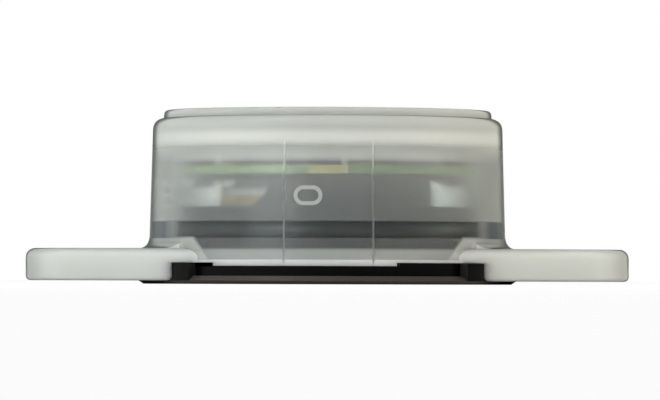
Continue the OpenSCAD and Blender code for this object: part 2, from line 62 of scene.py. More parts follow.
# Everything in this scene is in metres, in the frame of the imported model.
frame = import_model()
print("frame loaded:", len(frame["nodes"]), "nodes")


# Small helpers

def hexToLinear(code, alpha=1.0):
    values = [int(code[i:i + 2], 16) / 255 for i in (0, 2, 4)]
    return tuple(v / 12.92 if v <= 0.04045 else ((v + 0.055) / 1.055) ** 2.4 for v in values) + (alpha,)


def deselectAll():
    for thing in list(bpy.context.selected_objects):
        thing.select_set(False)


def makeActive(piece):
    deselectAll()
    piece.select_set(True)
    bpy.context.view_layer.objects.active = piece


def applyModifier(piece, kind, **settings):
    makeActive(piece)
    modifier = piece.modifiers.new(kind.title(), kind)
    for key, value in settings.items():
        setattr(modifier, key, value)
    bpy.ops.object.modifier_apply(modifier=modifier.name)


def addNode(tree, kind, settings=None, links=None):
    node = tree.nodes.new(kind)
    for key, value in (settings or {}).items():
        if isinstance(key, str) and hasattr(node, key):
            setattr(node, key, value)
        else:
            node.inputs[key].default_value = value
    for key, socket in (links or {}).items():
        tree.links.new(socket, node.inputs[key])
    return node


def newMaterial(name, shader):
    material = bpy.data.materials.new(name)
    material.use_nodes = True
    tree = material.node_tree
    surface = tree.nodes["Principled BSDF"]
    for key, value in shader.items():
        surface.inputs[key].default_value = value
    return material, tree, surface


grainSpread = (0.3, 0.7)       # the part of a noise between which its dark colour turns to its pale one
reliefStrength = 0.5


def grainedMaterial(name, shader, grainMm, detail=3.0, colours=None, roughness=None, relief=None):
    # One noise, as coarse as the real grain, drives whichever of colour, roughness and relief is given
    material, tree, surface = newMaterial(name, shader)
    place = addNode(tree, "ShaderNodeTexCoord")
    noise = addNode(tree, "ShaderNodeTexNoise", {"Scale": 1 / (grainMm * mm), "Detail": detail},
                    {"Vector": place.outputs["Object"]})
    grain = noise.outputs["Fac"]
    if colours:
        spread = addNode(tree, "ShaderNodeValToRGB", {}, {"Fac": grain})
        for stop, position, colour in zip(spread.color_ramp.elements, grainSpread, colours):
            stop.position = position
            stop.color = hexToLinear(colour)
        tree.links.new(spread.outputs["Color"], surface.inputs["Base Color"])
    if roughness:
        spread = addNode(tree, "ShaderNodeMapRange", {"To Min": roughness[0], "To Max": roughness[1]},
                         {"Value": grain})
        tree.links.new(spread.outputs["Result"], surface.inputs["Roughness"])
    if relief:
        bump = addNode(tree, "ShaderNodeBump", {"Distance": relief[0] * mm, "Strength": relief[1]},
                       {"Height": grain})
        tree.links.new(bump.outputs["Normal"], surface.inputs["Normal"])
    return material, tree, surface


def placeInMm(tree):
    place = addNode(tree, "ShaderNodeTexCoord")
    scaled = addNode(tree, "ShaderNodeVectorMath", {"operation": "SCALE", "Scale": 1 / mm},
                     {0: place.outputs["Object"]})
    return addNode(tree, "ShaderNodeSeparateXYZ", {}, {"Vector": scaled.outputs[0]})


whole = (0, 1)


def addMasks(tree, masks, steps):
    # Each step makes a mask from those before it: a ramp, as (from, to), low, high, or an operation on
    # one mask, on two, or on one and a number
    for name, how, source, *rest in steps:
        if how in ("LINEAR", "SMOOTHSTEP"):
            (start, end), low, high = rest
            node = addNode(tree, "ShaderNodeMapRange", {
                "interpolation_type": how, "From Min": start, "From Max": end,
                "To Min": low, "To Max": high}, {"Value": masks[source]})
        else:
            settings, links = {"operation": how}, {0: masks[source]}
            if rest and rest[0] in masks:
                links[1] = masks[rest[0]]
            elif rest:
                settings[1] = rest[0]
            node = addNode(tree, "ShaderNodeMath", settings, links)
        masks[name] = node.outputs[0]


def layColours(tree, masks, layers):
    # Each layer lays its last colour over the one before, by a mask. A colour is a hex value or a layer.
    colours = {}
    for name, mask, *pair in layers:
        mix = addNode(tree, "ShaderNodeMix", {"data_type": "RGBA"}, {0: masks[mask]})
        for socket, colour in zip((mix.inputs[6], mix.inputs[7]), pair):
            if colour in colours:
                tree.links.new(colours[colour], socket)
            else:
                socket.default_value = hexToLinear(colour)
        colours[name] = mix.outputs[2]
    return colours


# Camera, at the photograph's height and distance

camera = {
    "distance": 600 * mm,
    "lens": 349.9,           # a long lens: the ears and the wall show almost no perspective
    "sensor": 36,
    "clip": (0.01, 10),
    "eyeHeight": 0.4 * mm,
    "azimuth": -0.41,        # degrees; the front of the wall sits a little right of the middle
    "pitch": 0.714,          # degrees up, which puts the object below the frame's middle
    "roll": 0.18,
    "pixelsPerMm": 10.69,
    "objectMiddle": 327.5,   # column of the object's middle in the 660 px frame
    "frameMiddle": 330,
}


def makeCamera():
    data = bpy.data.cameras.new("camera")
    data.lens = camera["lens"]
    data.sensor_width = camera["sensor"]
    data.clip_start, data.clip_end = camera["clip"]
    holder = bpy.data.objects.new("camera", data)
    bpy.context.scene.collection.objects.link(holder)
    turn = math.radians(camera["azimuth"])
    sideShift = (camera["frameMiddle"] - camera["objectMiddle"]) / camera["pixelsPerMm"] * mm
    away = Vector((math.sin(turn), -math.cos(turn), 0))
    across = Vector((math.cos(turn), math.sin(turn), 0))
    holder.location = away * camera["distance"] + across * sideShift + Vector((0, 0, camera["eyeHeight"]))
    up = math.radians(camera["pitch"])
    look = -away * math.cos(up) + Vector((0, 0, math.sin(up)))
    holder.rotation_mode = "QUATERNION"
    turned = look.to_track_quat("-Z", "Y")
    roll = Quaternion((0, 0, 1), math.radians(camera["roll"]))
    holder.rotation_quaternion = turned @ roll
    bpy.context.scene.camera = holder


makeCamera()
print("camera placed")

# Light: a pale studio, cooler and brighter on the left than on the right

light = {
    "worldLevel": 0.38,       # what lights the matt surfaces
    "window": 24,             # degrees either way of the panel behind the object
    "windowSoft": 16,
    "panelLevel": "969b98",   # the panel, as clear plastic and gloss see it
    "leftSide": "d6dcde",     # what clear plastic sees beside the panel
    "rightSide": "8e8b80",
    "leftGloss": "f2f6f6",    # and what gloss sees there
    "rightGloss": "3c3a34",
    "sideFrom": (-0.9, 0.0),  # from the left to the right, as a ray's direction
    "topFrom": (0.35, 0.85),  # from the sides to overhead
    "topLevel": "f4f4f2",
    "aimHeight": 8,           # mm: the height that the lamps look at
    "lamps": [
        # name, place in mm, size in mm, watts, colour, and how many times longer than wide
        ("keyLamp", (-200, -272, 90), 220, 0.74, "f8fbff", 1),
        ("fillLamp", (590, -40, 240), 400, 2.6, "fff6ea", 1),
        ("stripLamp", (-230, -60, 540), 60, 0.85, "ffffff", 5),
        ("backLamp", (0, 620, 260), 600, 1.0, "ffffff", 1),
    ],
}


def makeWorld():
    world = bpy.data.worlds.new("studio")
    bpy.context.scene.world = world
    world.use_nodes = True
    tree = world.node_tree
    tree.nodes.clear()
    place = addNode(tree, "ShaderNodeTexCoord")
    split = addNode(tree, "ShaderNodeSeparateXYZ", {}, {"Vector": place.outputs["Generated"]})
    rays = addNode(tree, "ShaderNodeLightPath")
    inner = math.cos(math.radians(light["window"]))
    outer = math.cos(math.radians(light["window"] + light["windowSoft"]))
    masks = {"x": split.outputs["X"], "y": split.outputs["Y"], "z": split.outputs["Z"],
             "mirrored": rays.outputs["Is Glossy Ray"], "bent": rays.outputs["Is Transmission Ray"]}
    addMasks(tree, masks, [
        ("panel", "SMOOTHSTEP", "y", (outer, inner), 0, 1),
        ("above", "SMOOTHSTEP", "z", light["topFrom"], 0, 1),
        ("aside", "LINEAR", "x", light["sideFrom"], 0, 1),
        ("either", "MAXIMUM", "mirrored", "bent"),
    ])
    colours = layColours(tree, masks, [
        ("left", "mirrored", light["leftSide"], light["leftGloss"]),
        ("right", "mirrored", light["rightSide"], light["rightGloss"]),
        ("sides", "aside", "left", "right"),
        ("top", "above", "sides", light["topLevel"]),
        ("room", "panel", "top", light["panelLevel"]),
    ])
    # Matt surfaces get an even light, gloss and clear plastic see the room, and the camera sees white
    soft = addNode(tree, "ShaderNodeBackground", {"Color": (1, 1, 1, 1), "Strength": light["worldLevel"]})
    room = addNode(tree, "ShaderNodeBackground", {"Strength": 1.0}, {"Color": colours["room"]})
    white = addNode(tree, "ShaderNodeBackground", {"Color": (1, 1, 1, 1), "Strength": 1.0})
    first = addNode(tree, "ShaderNodeMixShader", {},
                    {0: masks["either"], 1: soft.outputs[0], 2: room.outputs[0]})
    last = addNode(tree, "ShaderNodeMixShader", {},
                   {0: rays.outputs["Is Camera Ray"], 1: first.outputs[0], 2: white.outputs[0]})
    addNode(tree, "ShaderNodeOutputWorld", {}, {"Surface": last.outputs[0]})


def makeLamps():
    middle = Vector((0, 0, light["aimHeight"] * mm))
    for name, place, size, watts, colour, longer in light["lamps"]:
        data = bpy.data.lights.new(name, "AREA")
        data.shape = "ELLIPSE"
        data.size = size * mm
        data.size_y = size * longer * mm
        data.energy = watts
        data.color = hexToLinear(colour)[:3]
        lamp = bpy.data.objects.new(name, data)
        bpy.context.scene.collection.objects.link(lamp)
        lamp.location = Vector(place) * mm
        lamp.visible_glossy = name == "stripLamp"     # only this one shows as a highlight
        lamp.rotation_mode = "QUATERNION"
        lamp.rotation_quaternion = (middle - lamp.location).to_track_quat("-Z", "Y")


floor = {
    "size": 3.0, "drop": 0.02, "colour": "f2f2f0", "grainMm": 4.0, "roughness": (0.85, 0.95),
    "whiteShare": 0.93,       # share of the view that goes through to the white behind
}


def makeFloor():
    deselectAll()
    bpy.ops.mesh.primitive_plane_add(size=floor["size"], location=(0, 0, -floor["drop"] * mm))
    plane = bpy.context.active_object
    plane.name = "floor"
    # Painted board, matt. The camera looks almost through it to the white behind, so that the cover
    # shows when it is pulled down, and the board still takes the shadow.
    material, tree, surface = grainedMaterial("paintedBoard", {"Base Color": hexToLinear(floor["colour"])},
                                              floor["grainMm"], roughness=floor["roughness"])
    rays = addNode(tree, "ShaderNodeLightPath")
    glow = addNode(tree, "ShaderNodeEmission", {"Color": (1, 1, 1, 1), "Strength": 1.0})
    through = addNode(tree, "ShaderNodeBsdfTransparent")
    mixed = surface
    for ray, seen in (("Is Transmission Ray", glow), ("Is Camera Ray", through)):
        share = addNode(tree, "ShaderNodeMath", {"operation": "MULTIPLY", 1: floor["whiteShare"]},
                        {0: rays.outputs[ray]})
        mixed = addNode(tree, "ShaderNodeMixShader", {},
                        {0: share.outputs[0], 1: mixed.outputs[0], 2: seen.outputs[0]})
    tree.links.new(mixed.outputs[0], tree.nodes["Material Output"].inputs["Surface"])
    plane.data.materials.append(material)


makeWorld()
makeLamps()
makeFloor()
print("stage ready")


# Materials, each named for what the real part is made of. Heights and radii are in mm.

wallForm = {"radius": 16.66, "height": 3.3, "draft": 1.5}   # the wall's radius at a height, and its slope

casePlastic = {
    "ior": 1.3,                   # under the real 1.49, which would bend and mirror the insides too much
    "specular": 0.4,
    "spreadMm": 3.0,              # how far light spreads inside the milky parts
    "grainMm": 0.35, "grainDetail": 4.0, "relief": (0.002, 0.4),
    # Shares of light that go straight on
    "clearWall": 0.86,            # through the thin wall
    "sealWall": 0.97,             # where the rubber ring presses on the wall and wets it
    "dampShare": 0.4,             # how wet the skirt under the ring is
    "skirt": 0.62,
    "milkyMass": 0.18,            # in the ears and the top, where the plastic is thick
    "postClear": 0.25,            # the posts under the ceiling are solid, and so milky
    "veilClear": 0.56,            # in the upper wall
    "flareClear": 0.42,           # in the ears' roots
    "rimClear": 0.1,
    # Where each of them lies
    "earFrom": (0.03, 0.3),       # what stands out past the wall by this much is solid
    "topFrom": (11.5, 13.2),
    "veilFrom": (10.7, 11.9),
    "skirtTo": (3.0, 3.5),
    "postTo": (14.15, 14.4),
    "flareTo": (4.1, 4.5),
    "flareSlope": 1.3,            # the ears' roots widen downwards at this slope
    "flareLine": (-12.2, -11.4),
    "wetFrom": (4.1, 4.3),
    "wetFade": 0.2,               # above the ring's top
    "rimTo": (2.15, 2.35),        # light piped down the wall leaves at its lower edge
    "rimRadius": (16.95, 17.1),
    # How squarely the wall is seen: 0 is straight on, 1 is edge on
    "edgeFrom": (0.15, 0.7),
    "edgeShare": 0.45,
    "wetEdgeShare": 0.75,         # how much of that the wetting by the ring takes away
    # painted shade: a dark line along the wall's outline
    "outlineFrom": (0.72, 0.88),
    "outlineShare": 0.12,
    "pressedFrom": (0.4, 0.62),   # where the ring's dark fills the wall as far as the outline
    "pressedWet": (0.5, 0.9),
    "pressedClear": 0.1,
    # painted shade: the wall turns grey towards its outline, less of it on the top
    "edgeShadeFrom": (0.15, 0.65),
    "edgeShadeTop": 0.35,              # how much of the grey stays on the top
    # Colours
    "massColour": "d2d5cf",
    # painted shade: the top gets a darker copy of the mass colour
    "shadedTopColour": "bec1bb",
    "wallColour": "f4f7f3",
    "lowColour": "d4d9d7",        # the wall near the seal, where less light comes down from the top
    "lowTo": (6.0, 11.5),
    "thinFrom": (0.4, 0.8),       # the clearness between which thick plastic's colour turns to the wall's
    "bandColour": "dadcd6",
    "cornerBand": (12.4, 13.4, 13.6, 14.4),   # light gathers where the wall meets the ceiling
    "rimColour": "f6f6f2",
    # painted shade towards the outline
    "edgeShadeColour": "a9ada8",
    "pressedColour": "5a6062",
    # painted shade along the outline
    "outlineShadeColour": "3c3e3a",
    # Roughness
    "insideRoughness": 0.24,      # the core side of the mould is sand-blasted
    "outsideRoughness": 0.1,
    "insideTo": (15.5, 15.9),     # radii between the wall's two faces
    "massRoughness": 0.3,
    "roughFrom": (0.3, 0.7),
}


def frostedPolypropylene():
    # Injection-moulded polypropylene, blasted inside: a thin wall shows the insides through a haze, and
    # thick parts are milky.
    own = casePlastic
    material, tree, surface = grainedMaterial("frostedPolypropylene", {
        "IOR": own["ior"], "Specular IOR Level": own["specular"], "Subsurface Weight": 1.0,
        "Subsurface Radius": (1.0, 1.0, 1.0), "Subsurface Scale": own["spreadMm"] * mm,
    }, own["grainMm"], own["grainDetail"], relief=own["relief"])
    split = placeInMm(tree)
    flat = addNode(tree, "ShaderNodeCombineXYZ", {}, {"X": split.outputs["X"], "Y": split.outputs["Y"]})
    radius = addNode(tree, "ShaderNodeVectorMath", {"operation": "LENGTH"}, {0: flat.outputs[0]})
    facing = addNode(tree, "ShaderNodeLayerWeight", {"Blend": 0.5})
    masks = {"sideways": split.outputs["X"], "height": split.outputs["Z"],
             "radius": radius.outputs["Value"], "facing": facing.outputs["Facing"]}
    lean = math.tan(math.radians(wallForm["draft"]))
    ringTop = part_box("o_ring")[1][2] / mm

    addMasks(tree, masks, [
        # How far a point stands out past the drafted wall
        ("leaning", "MULTIPLY", "height", lean),
        ("stand", "ADD", "radius", "leaning"),
        ("proud", "SUBTRACT", "stand", wallForm["radius"] + wallForm["height"] * lean),
        # How clear the thick places are
        ("ear", "SMOOTHSTEP", "proud", own["earFrom"], 1, own["milkyMass"]),
        ("top", "SMOOTHSTEP", "height", own["topFrom"], 1, own["milkyMass"]),
        ("skirt", "SMOOTHSTEP", "height", own["skirtTo"], own["skirt"], 1),
        ("post", "SMOOTHSTEP", "radius", own["postTo"], own["postClear"], 1),
        ("veil", "SMOOTHSTEP", "height", own["veilFrom"], 1, own["veilClear"]),
        ("apart", "ABSOLUTE", "sideways"),
        ("fall", "MULTIPLY", "apart", own["flareSlope"]),
        ("slanted", "SUBTRACT", "height", "fall"),
        ("inside", "SMOOTHSTEP", "slanted", own["flareLine"], own["flareClear"], 1),
        ("over", "SMOOTHSTEP", "height", own["flareTo"], own["flareClear"], 1),
        ("flare", "MAXIMUM", "inside", "over"),
        ("rimLow", "SMOOTHSTEP", "height", own["rimTo"], 1, 0),
        ("rimIn", "SMOOTHSTEP", "radius", own["rimRadius"], 1, 0),
        ("rim", "MULTIPLY", "rimLow", "rimIn"),
        ("rimMilk", "SMOOTHSTEP", "rim", whole, 1, own["rimClear"]),
        # How wet the ring makes the wall
        ("soaked", "SMOOTHSTEP", "height", own["wetFrom"], 0, 1),
        ("damp", "SMOOTHSTEP", "height", own["skirtTo"], 0, own["dampShare"]),
        ("wetting", "MAXIMUM", "soaked", "damp"),
        ("underRing", "SMOOTHSTEP", "height", (ringTop, ringTop + own["wetFade"]), 1, 0),
        ("wet", "MULTIPLY", "wetting", "underRing"),
        ("wall", "LINEAR", "wet", whole, own["clearWall"], own["sealWall"]),
        # How the wall dulls towards its outline. The outline mask also lays a dark line on its colour below:
        # painted shade.
        ("aslant", "SMOOTHSTEP", "facing", own["edgeFrom"], 0, 1 - own["edgeShare"]),
        ("dry", "SMOOTHSTEP", "wet", whole, 1, 1 - own["wetEdgeShare"]),
        ("dulled", "MULTIPLY", "aslant", "dry"),
        ("edgeClear", "SMOOTHSTEP", "dulled", whole, 1, 0),
        ("outline", "SMOOTHSTEP", "facing", own["outlineFrom"], 0, 1),
        ("outlineClear", "SMOOTHSTEP", "outline", whole, 1, own["outlineShare"]),
        ("seenClear", "MULTIPLY", "edgeClear", "outlineClear"),
        ("turned", "SMOOTHSTEP", "facing", own["pressedFrom"], 0, 1),
        ("touched", "SMOOTHSTEP", "wet", own["pressedWet"], 0, 1),
        ("pressed", "MULTIPLY", "turned", "touched"),
        ("pressedClear", "SMOOTHSTEP", "pressed", whole, 1, own["pressedClear"]),
        ("edge", "MULTIPLY", "seenClear", "pressedClear"),
    ])
    # A point is as clear as the milkiest of these lets it be
    masks["mass"] = masks["ear"]
    for thick in ("top", "skirt", "flare", "post", "veil", "rimMilk"):
        addMasks(tree, masks, [("mass", "MINIMUM", "mass", thick)])
    addMasks(tree, masks, [
        ("through", "MINIMUM", "mass", "wall"),
        ("clear", "MULTIPLY", "through", "edge"),
        # What each colour covers
        ("thin", "SMOOTHSTEP", "mass", own["thinFrom"], 0, 1),
        ("high", "SMOOTHSTEP", "height", own["topFrom"], 0, 1),
        ("upWall", "SMOOTHSTEP", "height", own["lowTo"], 0, 1),
        ("bandUp", "SMOOTHSTEP", "height", own["cornerBand"][:2], 0, 1),
        ("bandDown", "SMOOTHSTEP", "height", own["cornerBand"][2:], 1, 0),
        ("gathered", "MULTIPLY", "bandUp", "bandDown"),
        # Painted shade: grey where the wall is seen aslant, less of it on the top
        ("side", "SMOOTHSTEP", "facing", own["edgeShadeFrom"], 0, 1),
        ("fromTop", "SMOOTHSTEP", "height", own["topFrom"], 1, own["edgeShadeTop"]),
        ("grey", "MULTIPLY", "side", "fromTop"),
        # How rough the surface is
        ("faces", "SMOOTHSTEP", "radius", own["insideTo"], own["insideRoughness"], own["outsideRoughness"]),
        ("milky", "SMOOTHSTEP", "mass", own["roughFrom"], own["massRoughness"], 0),
        ("rough", "MAXIMUM", "faces", "milky"),
    ])
    colours = layColours(tree, masks, [
        # the top's darker colour is painted shade
        ("thick", "high", own["massColour"], own["shadedTopColour"]),
        ("wall", "upWall", own["lowColour"], own["wallColour"]),
        ("body", "thin", "thick", "wall"),
        ("banded", "gathered", "body", own["bandColour"]),
        ("piped", "rim", "banded", own["rimColour"]),
        # painted shade towards the outline
        ("edgeShaded", "grey", "piped", own["edgeShadeColour"]),
        ("held", "pressed", "edgeShaded", own["pressedColour"]),
        # painted shade: a dark line along the outline
        ("outlineShaded", "outline", "held", own["outlineShadeColour"]),
    ])
    tree.links.new(masks["clear"], surface.inputs["Transmission Weight"])
    tree.links.new(masks["rough"], surface.inputs["Roughness"])
    tree.links.new(colours["outlineShaded"], surface.inputs["Base Color"])
    return material


ledgePlastic = {"colour": "e4e6e0", "roughness": 0.6, "ior": 1.49, "clear": 0.4, "grainMm": 0.25,
                "relief": (0.02, 0.6)}


def mattPolypropylene():
    # The same plastic where the mould is left rough, on the ledges inside: dull and hazy.
    return grainedMaterial("mattPolypropylene", {
        "Base Color": hexToLinear(ledgePlastic["colour"]), "Roughness": ledgePlastic["roughness"],
        "IOR": ledgePlastic["ior"], "Transmission Weight": ledgePlastic["clear"],
    }, ledgePlastic["grainMm"], relief=ledgePlastic["relief"])[0]


mouldLine = {"colour": "f0f2ee", "ior": 1.2, "specular": 0.2, "grainMm": 0.5, "roughness": (0.25, 0.35),
             "fadeFrom": (9.5, 12.5), "clearLow": 0.87, "clearHigh": 0.5}


def whitenedPolypropylene():
    # Plastic whitened by stress along the mould insert's edges: clear low down, whiter near the top.
    material, tree, surface = grainedMaterial("whitenedPolypropylene", {
        "Base Color": hexToLinear(mouldLine["colour"]), "IOR": mouldLine["ior"],
        "Specular IOR Level": mouldLine["specular"],
    }, mouldLine["grainMm"], roughness=mouldLine["roughness"])
    masks = {"height": placeInMm(tree).outputs["Z"]}
    addMasks(tree, masks, [("clear", "LINEAR", "height", mouldLine["fadeFrom"],
                            mouldLine["clearLow"], mouldLine["clearHigh"])])
    tree.links.new(masks["clear"], surface.inputs["Transmission Weight"])
    return material


gateRing = {"colour": "dcdcd8", "ior": 1.3, "clear": 0.55, "grainMm": 0.5, "roughness": (0.45, 0.55)}


def stressedPolypropylene():
    # The raised ring round the gate: matt, and whitened by stress.
    return grainedMaterial("stressedPolypropylene", {
        "Base Color": hexToLinear(gateRing["colour"]), "IOR": gateRing["ior"],
        "Transmission Weight": gateRing["clear"],
    }, gateRing["grainMm"], roughness=gateRing["roughness"])[0]


def plainMaterial(name, colours, grainMm, shader, roughness, reliefMm):
    return grainedMaterial(name, shader, grainMm, colours=colours, roughness=roughness,
                           relief=(reliefMm, reliefStrength))[0]


materials = {
    "case": frostedPolypropylene(),
    "ledge": mattPolypropylene(),
    "whitened": whitenedPolypropylene(),
    "gate": stressedPolypropylene(),
    # Black polycarbonate from a spark-textured mould: a fine grain with a soft sheen.
    "black": plainMaterial("texturedPolycarbonate", ("12100e", "1d1a16"), 0.12,
                           {"IOR": 1.5, "Specular IOR Level": 0.6}, (0.45, 0.58), 0.008),
    # The same in the bayonet channel, where the mould is polished and smoother. Its deeper black is painted
    # shade, for the little light that falls there.
    "channel": plainMaterial("shadedPolishedPolycarbonate", ("020202", "030303"), 0.3,
                             {"IOR": 1.5, "Specular IOR Level": 0.1}, (0.28, 0.36), 0.004),
    # The same on the sloped lip, in a lighter brown-grey and dull: painted light, a lit copy of the black for
    # the light the lip catches from the front and top.
    "lip": plainMaterial("litLipPolycarbonate", ("26211c", "38322a"), 0.2,
                         {"IOR": 1.5, "Specular IOR Level": 0.4}, (0.45, 0.6), 0.01),
    # Glass laminate, sawn: a bare, yellowish edge.
    "laminate": plainMaterial("bareLaminate", ("d0c67c", "e2d896"), 0.35, {"IOR": 1.55}, (0.5, 0.65), 0.01),
    # Nitrile rubber, moulded: dark grey and slightly greasy.
    "rubber": plainMaterial("nitrileRubber", ("3a3d3e", "484b4c"), 0.3, {"IOR": 1.52}, (0.38, 0.5), 0.006),
    # Closed-cell polyethylene foam, cut: dark, with open pores.
    "foam": plainMaterial("polyethyleneFoam", ("2c2d2f", "4a4b4e"), 0.45, {"IOR": 1.4}, (0.9, 1.0), 0.15),
    # Solder mask, printed on glass laminate: a green varnish with a slight gloss.
    "mask": plainMaterial("solderMask", ("749c54", "96ba68"), 1.4,
                          {"IOR": 1.55, "Coat Weight": 0.3, "Coat Roughness": 0.2}, (0.3, 0.42), 0.01),
    # Glass-filled nylon, moulded: near black, with a faint mottle.
    "nylon": plainMaterial("glassFilledNylon", ("1b1d1e", "2b2e2f"), 0.2, {"IOR": 1.53}, (0.45, 0.6), 0.012),
    # Phosphor bronze, stamped and gold-plated: a warm, soft shine.
    "gold": plainMaterial("goldPlatedBronze", ("bd9a58", "d8b878"), 0.8, {"Metallic": 0.8},
                          (0.24, 0.36), 0.004),
    # Steel, drawn and nickel-plated: a pale, satin grey.
    "nickel": plainMaterial("nickelPlatedSteel", ("dcddda", "eeefec"), 0.5, {"Metallic": 0.45},
                            (0.4, 0.52), 0.004),
    # Tin, dipped: near white and uneven.
    "tin": plainMaterial("tinPlating", ("e4e5e2", "f4f5f2"), 0.3, {"Metallic": 0.35}, (0.4, 0.55), 0.008),
    # Steel, zinc-plated: a light, cool grey.
    "zinc": plainMaterial("zincPlatedSteel", ("d2d4d3", "e6e8e7"), 0.4, {"Metallic": 0.3},
                          (0.3, 0.42), 0.006),
    # Epoxy moulding compound: black and dull, with a fine filler.
    "resin": plainMaterial("epoxyMoulding", ("161718", "242627"), 0.15, {"IOR": 1.55}, (0.55, 0.7), 0.01),
    # Alumina, fired: a smooth, warm white.
    "ceramic": plainMaterial("aluminaCeramic", ("c9c6bb", "e2e0d6"), 0.5, {"IOR": 1.76}, (0.3, 0.42), 0.004),
    # Barium titanate, fired: a brown, slightly waxy block.
    "titanate": plainMaterial("bariumTitanate", ("7d6447", "9c7f5b"), 0.25, {"IOR": 2.0}, (0.4, 0.55), 0.006),
    # Ferrite, fired: a dark, dry grey.
    "ferrite": plainMaterial("firedFerrite", ("1e1f21", "34363a"), 0.3, {"IOR": 1.9}, (0.5, 0.65), 0.01),
    # Acetal, moulded: an ivory white with a soft sheen.
    "acetal": plainMaterial("whiteAcetal", ("d6d4cb", "e8e6de"), 0.3, {"IOR": 1.48}, (0.35, 0.45), 0.004),
    # Polypropylene, moulded and dyed dark, as the cell's seal.
    "gasket": plainMaterial("gasketPolypropylene", ("232427", "34363a"), 0.3, {"IOR": 1.49},
                            (0.45, 0.55), 0.004),
    # Polyester film with a satin print varnish: pale and almost even.
    "film": plainMaterial("satinPolyester", ("cdd0ca", "d8dbd5"), 2.5,
                          {"IOR": 1.6, "Transmission Weight": 0.2}, (0.48, 0.56), 0.003),
    # Thermoplastic elastomer, moulded: translucent and soft-looking.
    "elastomer": plainMaterial("clearElastomer", ("e0e3dd", "eaede7"), 0.9,
                               {"IOR": 1.2, "Transmission Weight": 0.75}, (0.5, 0.62), 0.01),
    # Polycarbonate from a polished mould, seen here as a pale block lit through.
    "clear": plainMaterial("clearPolycarbonate", ("f6f8f4", "ffffff"), 0.8,
                           {"IOR": 1.58, "Transmission Weight": 0.15}, (0.18, 0.26), 0.003),
    # Cast epoxy, tinted: glossy lamp bodies.
    "redLamp": plainMaterial("clearRedEpoxy", ("c99d97", "dcb4ad"), 0.3,
                             {"IOR": 1.5, "Transmission Weight": 0.4}, (0.15, 0.25), 0.002),
    "greenLamp": plainMaterial("clearGreenEpoxy", ("a9c2a0", "bcd4b2"), 0.3,
                               {"IOR": 1.5, "Transmission Weight": 0.4}, (0.15, 0.25), 0.002),
}
print("materials made:", len(materials))


# Pieces that keep a node's form: a copy is merged, its edges are broken and its shading is smoothed

dressing = {
    "mergeMm": 0.0005,
    "edgeAngle": 50,         # degrees: sharper edges than this are broken
    "edgeSegments": 2,
    "smooth": 30,            # degrees: faces that meet at less than this are shaded as one
    "flatTop": 0.9995,       # a level face keeps its own normal, and so does the rounding beside it
    "sideways": 0.012,       # a turned face looks no further sideways than this
    "axisGap": 0.2,          # mm: nothing this near the axis counts as turned
    "cornerGap": 0.05,
}


def turnedNormals(piece, smooth):
    # Shading normals of a turned part: each face's slope is carried round to its corners, so that long
    # thin triangles shade as smoothly as the real surface. Other faces are averaged with their neighbours.
    mesh = piece.data
    limit = math.cos(math.radians(smooth))
    axisGap, cornerGap = dressing["axisGap"] * mm, dressing["cornerGap"] * mm
    flatTop = dressing["flatTop"]
    slopes = []
    for face in mesh.polygons:
        middle = Vector((face.center.x, face.center.y, 0))
        outward = middle.normalized() if middle.length > axisGap else Vector((0, 0, 0))
        aside = Vector((-outward.y, outward.x, 0))
        turned = middle.length > axisGap and abs(face.normal.dot(aside)) < dressing["sideways"]
        slopes.append((face.normal.dot(outward), face.normal.z) if turned else None)
    around = [[] for vertex in mesh.vertices]
    for face in mesh.polygons:
        for corner in face.vertices:
            around[corner].append(face.index)
    normals = [Vector((0, 0, 1))] * len(mesh.loops)
    for face in mesh.polygons:
        for loop in face.loop_indices:
            corner = mesh.loops[loop].vertex_index
            spot = mesh.vertices[corner].co
            outward = Vector((spot.x, spot.y, 0))
            outward = outward.normalized() if outward.length > cornerGap else None
            total = Vector((0, 0, 0))
            for other in around[corner]:
                neighbour = mesh.polygons[other]
                if neighbour.normal.dot(face.normal) < limit:
                    continue
                if (neighbour.normal.z > flatTop) != (face.normal.z > flatTop):
                    continue
                slope = slopes[other]
                if slope is None or outward is None:
                    normal = neighbour.normal
                else:
                    normal = outward * slope[0] + Vector((0, 0, slope[1]))
                total += normal * neighbour.area
            normals[loop] = total.normalized() if total.length > 0 else face.normal.copy()
    mesh.normals_split_custom_set(normals)


def dressNode(node, pieceName, material, edgeMm=0.0, smooth=dressing["smooth"]):
    source = frame["nodes"][node]
    piece = bpy.data.objects.new(pieceName, source.data.copy())
    piece.data.name = pieceName
    piece.data.materials.clear()
    bpy.context.scene.collection.objects.link(piece)
    makeActive(piece)
    bpy.ops.object.mode_set(mode="EDIT")
    bpy.ops.mesh.select_all(action="SELECT")
    bpy.ops.mesh.remove_doubles(threshold=dressing["mergeMm"] * mm)
    bpy.ops.object.mode_set(mode="OBJECT")
    if edgeMm:
        applyModifier(piece, "BEVEL", width=edgeMm * mm, segments=dressing["edgeSegments"],
                      limit_method="ANGLE", angle_limit=math.radians(dressing["edgeAngle"]),
                      use_clamp_overlap=True)
    makeActive(piece)
    bpy.ops.object.shade_smooth()
    turnedNormals(piece, smooth)
    piece.data.materials.append(materials[material])
    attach(piece, source["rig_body"])
    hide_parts(node)
    return piece


caseShell = {
    "node": "housing", "smooth": 32, "ledgeRadius": 15.6, "ledgeTop": 3.3,
    "markHeight": (0.03, 0.2),               # a mould mark stands out from the wall by this much
    "markReach": 4.5, "markFrom": 4.6, "markTo": 13.2,
    "ringMiddle": -1.9, "ringReach": 1.7, "ringTop": 10,   # the ring round the gate; other marks are lines
}


